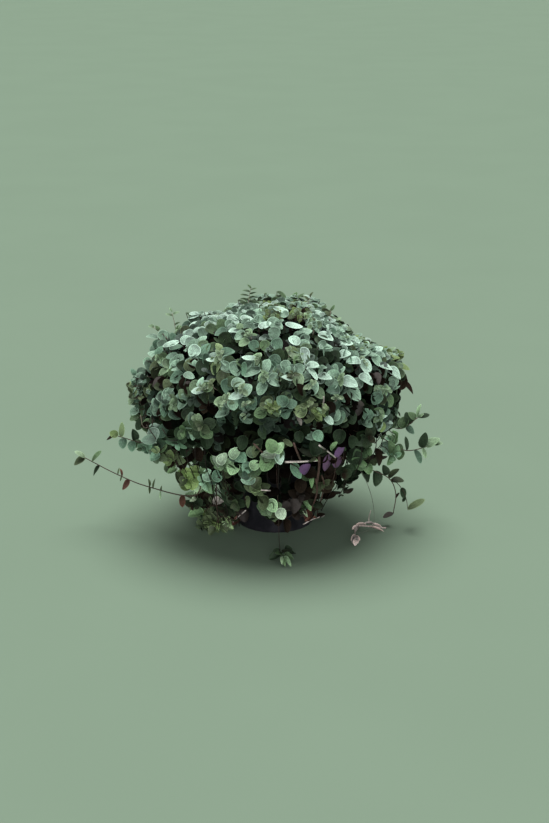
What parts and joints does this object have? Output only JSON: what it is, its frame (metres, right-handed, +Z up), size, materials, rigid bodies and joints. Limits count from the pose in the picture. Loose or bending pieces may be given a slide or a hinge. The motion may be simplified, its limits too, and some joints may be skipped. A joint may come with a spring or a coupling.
{
  "type": "potted turtle vine",
  "caption": "Trailing houseplant with small round leaves grown into a dense cushion over the rim of a tapered round nursery pot, with thin stems that hang and trail.",
  "frame": {"origin": "on the floor under the middle of the pot, in the plane of its flat underside", "axes": "+Z up along the pot's axis, +X to the right of the front view, the front faces -Y"},
  "size_m": [0.5331, 0.4, 0.3356],
  "materials": {
    "canopy_leaves": "matte, faintly waxy",
    "hanging_leaves": "matte, faintly waxy",
    "fresh_leaves": "matte, faintly waxy",
    "purple_leaves": "matte",
    "dried_leaves": "dry, papery",
    "potting_soil": "rough, crumbly",
    "pot_plastic": "satin"
  },
  "bodies": {
    "root": {"canopy": "canopy_leaves", "outer_stem_1": "hanging_leaves", "outer_stem_2": "hanging_leaves", "outer_stem_3": "hanging_leaves", "outer_stem_4": "hanging_leaves", "outer_stem_5": "hanging_leaves", "outer_stem_6": "hanging_leaves", "outer_stem_7": "hanging_leaves", "outer_stem_8": "hanging_leaves", "inner_stem_1": "hanging_leaves", "inner_stem_2": "hanging_leaves", "inner_stem_3": "hanging_leaves", "inner_stem_4": "hanging_leaves", "inner_stem_5": "hanging_leaves", "inner_stem_6": "hanging_leaves", "inner_stem_7": "hanging_leaves", "inner_stem_8": "hanging_leaves", "long_left_stem": "hanging_leaves", "upper_left_stem": "hanging_leaves", "middle_left_stem": "hanging_leaves", "low_left_stem": "fresh_leaves", "upper_right_stem": "hanging_leaves", "far_right_stem": "hanging_leaves", "low_right_stem": "hanging_leaves", "purple_stem": "purple_leaves", "front_stem": "fresh_leaves", "dried_stem": "dried_leaves", "soil": "potting_soil", "pot": "pot_plastic"}
  },
  "joints": []
}
